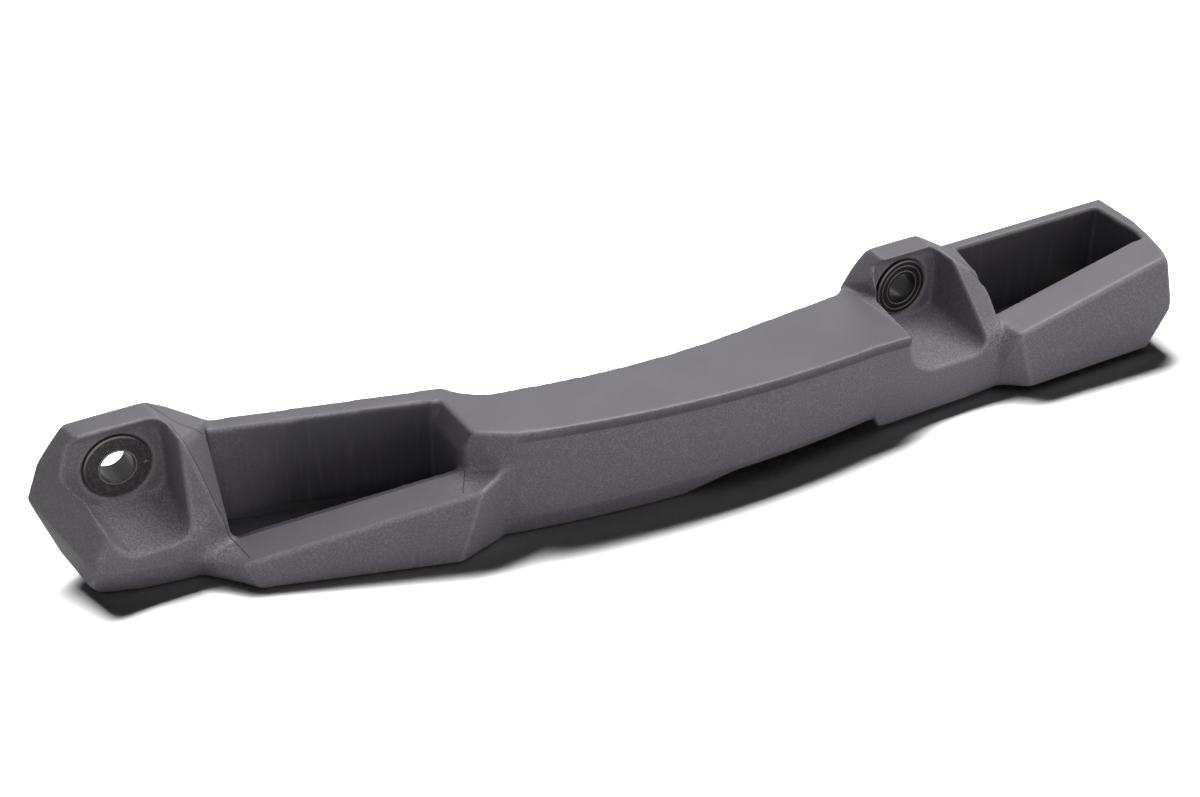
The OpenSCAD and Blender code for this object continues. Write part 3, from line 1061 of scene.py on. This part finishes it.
@dataclass
class Studio:
    """Pale floor, soft light and the camera at the photograph's angle.

    The photograph's shadow is dark though the handle is lit from all sides, so one lamp
    lights the floor and the others light the handle alone.
    """

    pieces: list[bpy.types.Object]
    camera_at: Point = (-0.0952, -0.4028, 0.2667)
    yaw_deg: float = 30.3
    down_deg: float = 31.9
    focal_px: float = 1900.0
    frame_px: float = 1200.0
    aim: Point = (0.15, -0.02, -0.01)
    floor_at: Point = (0.15, 0.0, -0.03105)
    floor_size: float = 6.0
    floor_grey: float = 0.17
    white_floor: float = 0.5
    lit_radius: float = 0.35
    white_radius: float = 0.6
    sky: float = 0.012
    mirrored: float = 1.0
    lamps: tuple[Softbox, ...] = (
        Softbox("floor_softbox", (0.15, 0.46, 1.13), (1.0, 0.36), 103.0, Target.FLOOR),
        Softbox("back_softbox", (0.47, 0.77, 1.05), (0.5, 0.5), 2.2),
        Softbox("front_fill", (-0.25, -1.15, 0.8), (0.9, 0.9), 4.2),
        Softbox("front_right", (0.9, -1.0, 0.35), (0.9, 0.9), 4.7),
        Softbox("overhead", (0.6, 0.1, 1.3), (0.9, 0.9), 14.2),
    )

    def build(self) -> None:
        """Builds the floor, the world, the lamps and the camera."""
        self.camera()
        floor = self.floor()
        self.world()
        self.light(floor)
        bpy.context.scene.view_settings.view_transform = "Standard"
        log.info("studio built")

    def camera(self) -> None:
        """Adds the camera at the photograph's place and angle."""
        data = bpy.data.cameras.new("camera")
        data.sensor_width = 36.0
        data.lens = self.focal_px / self.frame_px * data.sensor_width
        data.clip_start, data.clip_end = 0.01, 50.0
        camera = bpy.data.objects.new("camera", data)
        camera.location = self.camera_at
        camera.rotation_euler = (
            math.radians(90 - self.down_deg),
            0.0,
            math.radians(-self.yaw_deg),
        )
        bpy.context.scene.collection.objects.link(camera)
        bpy.context.scene.camera = camera

    def floor(self) -> bpy.types.Object:
        """Adds the pale floor, white to the camera outside the shadow.

        Far from the handle, where the lamp's light falls off, it stays white. It lies a
        hair below the handle, so that no two faces share a plane.

        Returns:
            The floor.
        """
        mesh = bpy.data.meshes.new("floor")
        half = self.floor_size / 2
        corners = [(-half, -half, 0), (half, -half, 0), (half, half, 0), (-half, half, 0)]
        mesh.from_pydata(corners, [], [(0, 1, 2, 3)])
        floor = bpy.data.objects.new("floor", mesh)
        floor.location = self.floor_at
        bpy.context.scene.collection.objects.link(floor)
        material, tree = new_material("pale_floor")
        ray = add(tree, "ShaderNodeLightPath").outputs["Is Camera Ray"]
        level = add(
            tree, "ShaderNodeMapRange", links={0: ray, 3: self.floor_grey, 4: self.white_floor}
        ).outputs[0]
        near = add(tree, "ShaderNodeBsdfDiffuse", links={"Color": level})
        far = add(tree, "ShaderNodeEmission", links={"Strength": ray})
        place = add(tree, "ShaderNodeTexCoord").outputs["Object"]
        reach = add(
            tree, "ShaderNodeVectorMath", {"operation": "LENGTH"}, {0: place}
        ).outputs["Value"]
        reach = add(
            tree, "ShaderNodeMapRange", links={0: reach, 1: self.lit_radius, 2: self.white_radius}
        ).outputs[0]
        shader = add(
            tree, "ShaderNodeMixShader", links={0: reach, 1: near.outputs[0], 2: far.outputs[0]}
        )
        add(tree, "ShaderNodeOutputMaterial", links={0: shader.outputs[0]})
        mesh.materials.append(material)
        return floor

    def world(self) -> None:
        """Sets a white backdrop and a soft light from all round."""
        world = bpy.data.worlds.new("studio")
        world.use_nodes = True
        tree = world.node_tree
        tree.nodes.clear()
        path = add(tree, "ShaderNodeLightPath").outputs
        level = add(
            tree,
            "ShaderNodeMapRange",
            links={0: path["Is Glossy Ray"], 3: self.sky, 4: self.mirrored},
        ).outputs[0]
        for ray in ("Is Camera Ray", "Is Transmission Ray"):
            level = add(
                tree, "ShaderNodeMath", {"operation": "MAXIMUM"}, {0: level, 1: path[ray]}
            ).outputs[0]
        light = add(
            tree, "ShaderNodeBackground", links={"Color": to_linear("#ffffff"), "Strength": level}
        )
        add(tree, "ShaderNodeOutputWorld", links={0: light.outputs[0]})
        bpy.context.scene.world = world

    def light(self, floor: bpy.types.Object) -> None:
        """Adds the lamps, each with what it lights.

        Args:
            floor: The floor.
        """
        lit = {target: bpy.data.collections.new(f"lit_{target.value}") for target in Target}
        lit[Target.FLOOR].objects.link(floor)
        for thing in [*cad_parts.values(), *self.pieces]:
            lit[Target.HANDLE].objects.link(thing)
        for softbox in self.lamps:
            softbox.build(self.aim, lit[softbox.target])


def main() -> None:
    """Builds the handle's looks in order, then the studio."""
    logging.basicConfig(level=logging.INFO, format="%(message)s")
    pieces = HandleBody().build()
    front = PlatedSteel("plated_steel_front", (0.0, 0.0, 0.0))
    rear = PlatedSteel(
        "plated_steel_rear",
        (232.0, 0.0, -3.0),
        base="#2f2d2e",
        dirt="#232122",
        speck="#454340",
        rubbing_and_glint="#8a8688",
        bore_shade="#2f2d2e",
        rings=(8.4, 7.0, 5.3),
    )
    pieces += Bush(Side.FRONT, front, (0.0, 0.0, 0.0)).build()
    pieces += Bush(Side.REAR, rear, (232.0, -20.0, -3.0), rings_mm=(5.3, 7.0)).build()
    Studio(pieces).build()


if __name__ == "__main__":
    main()
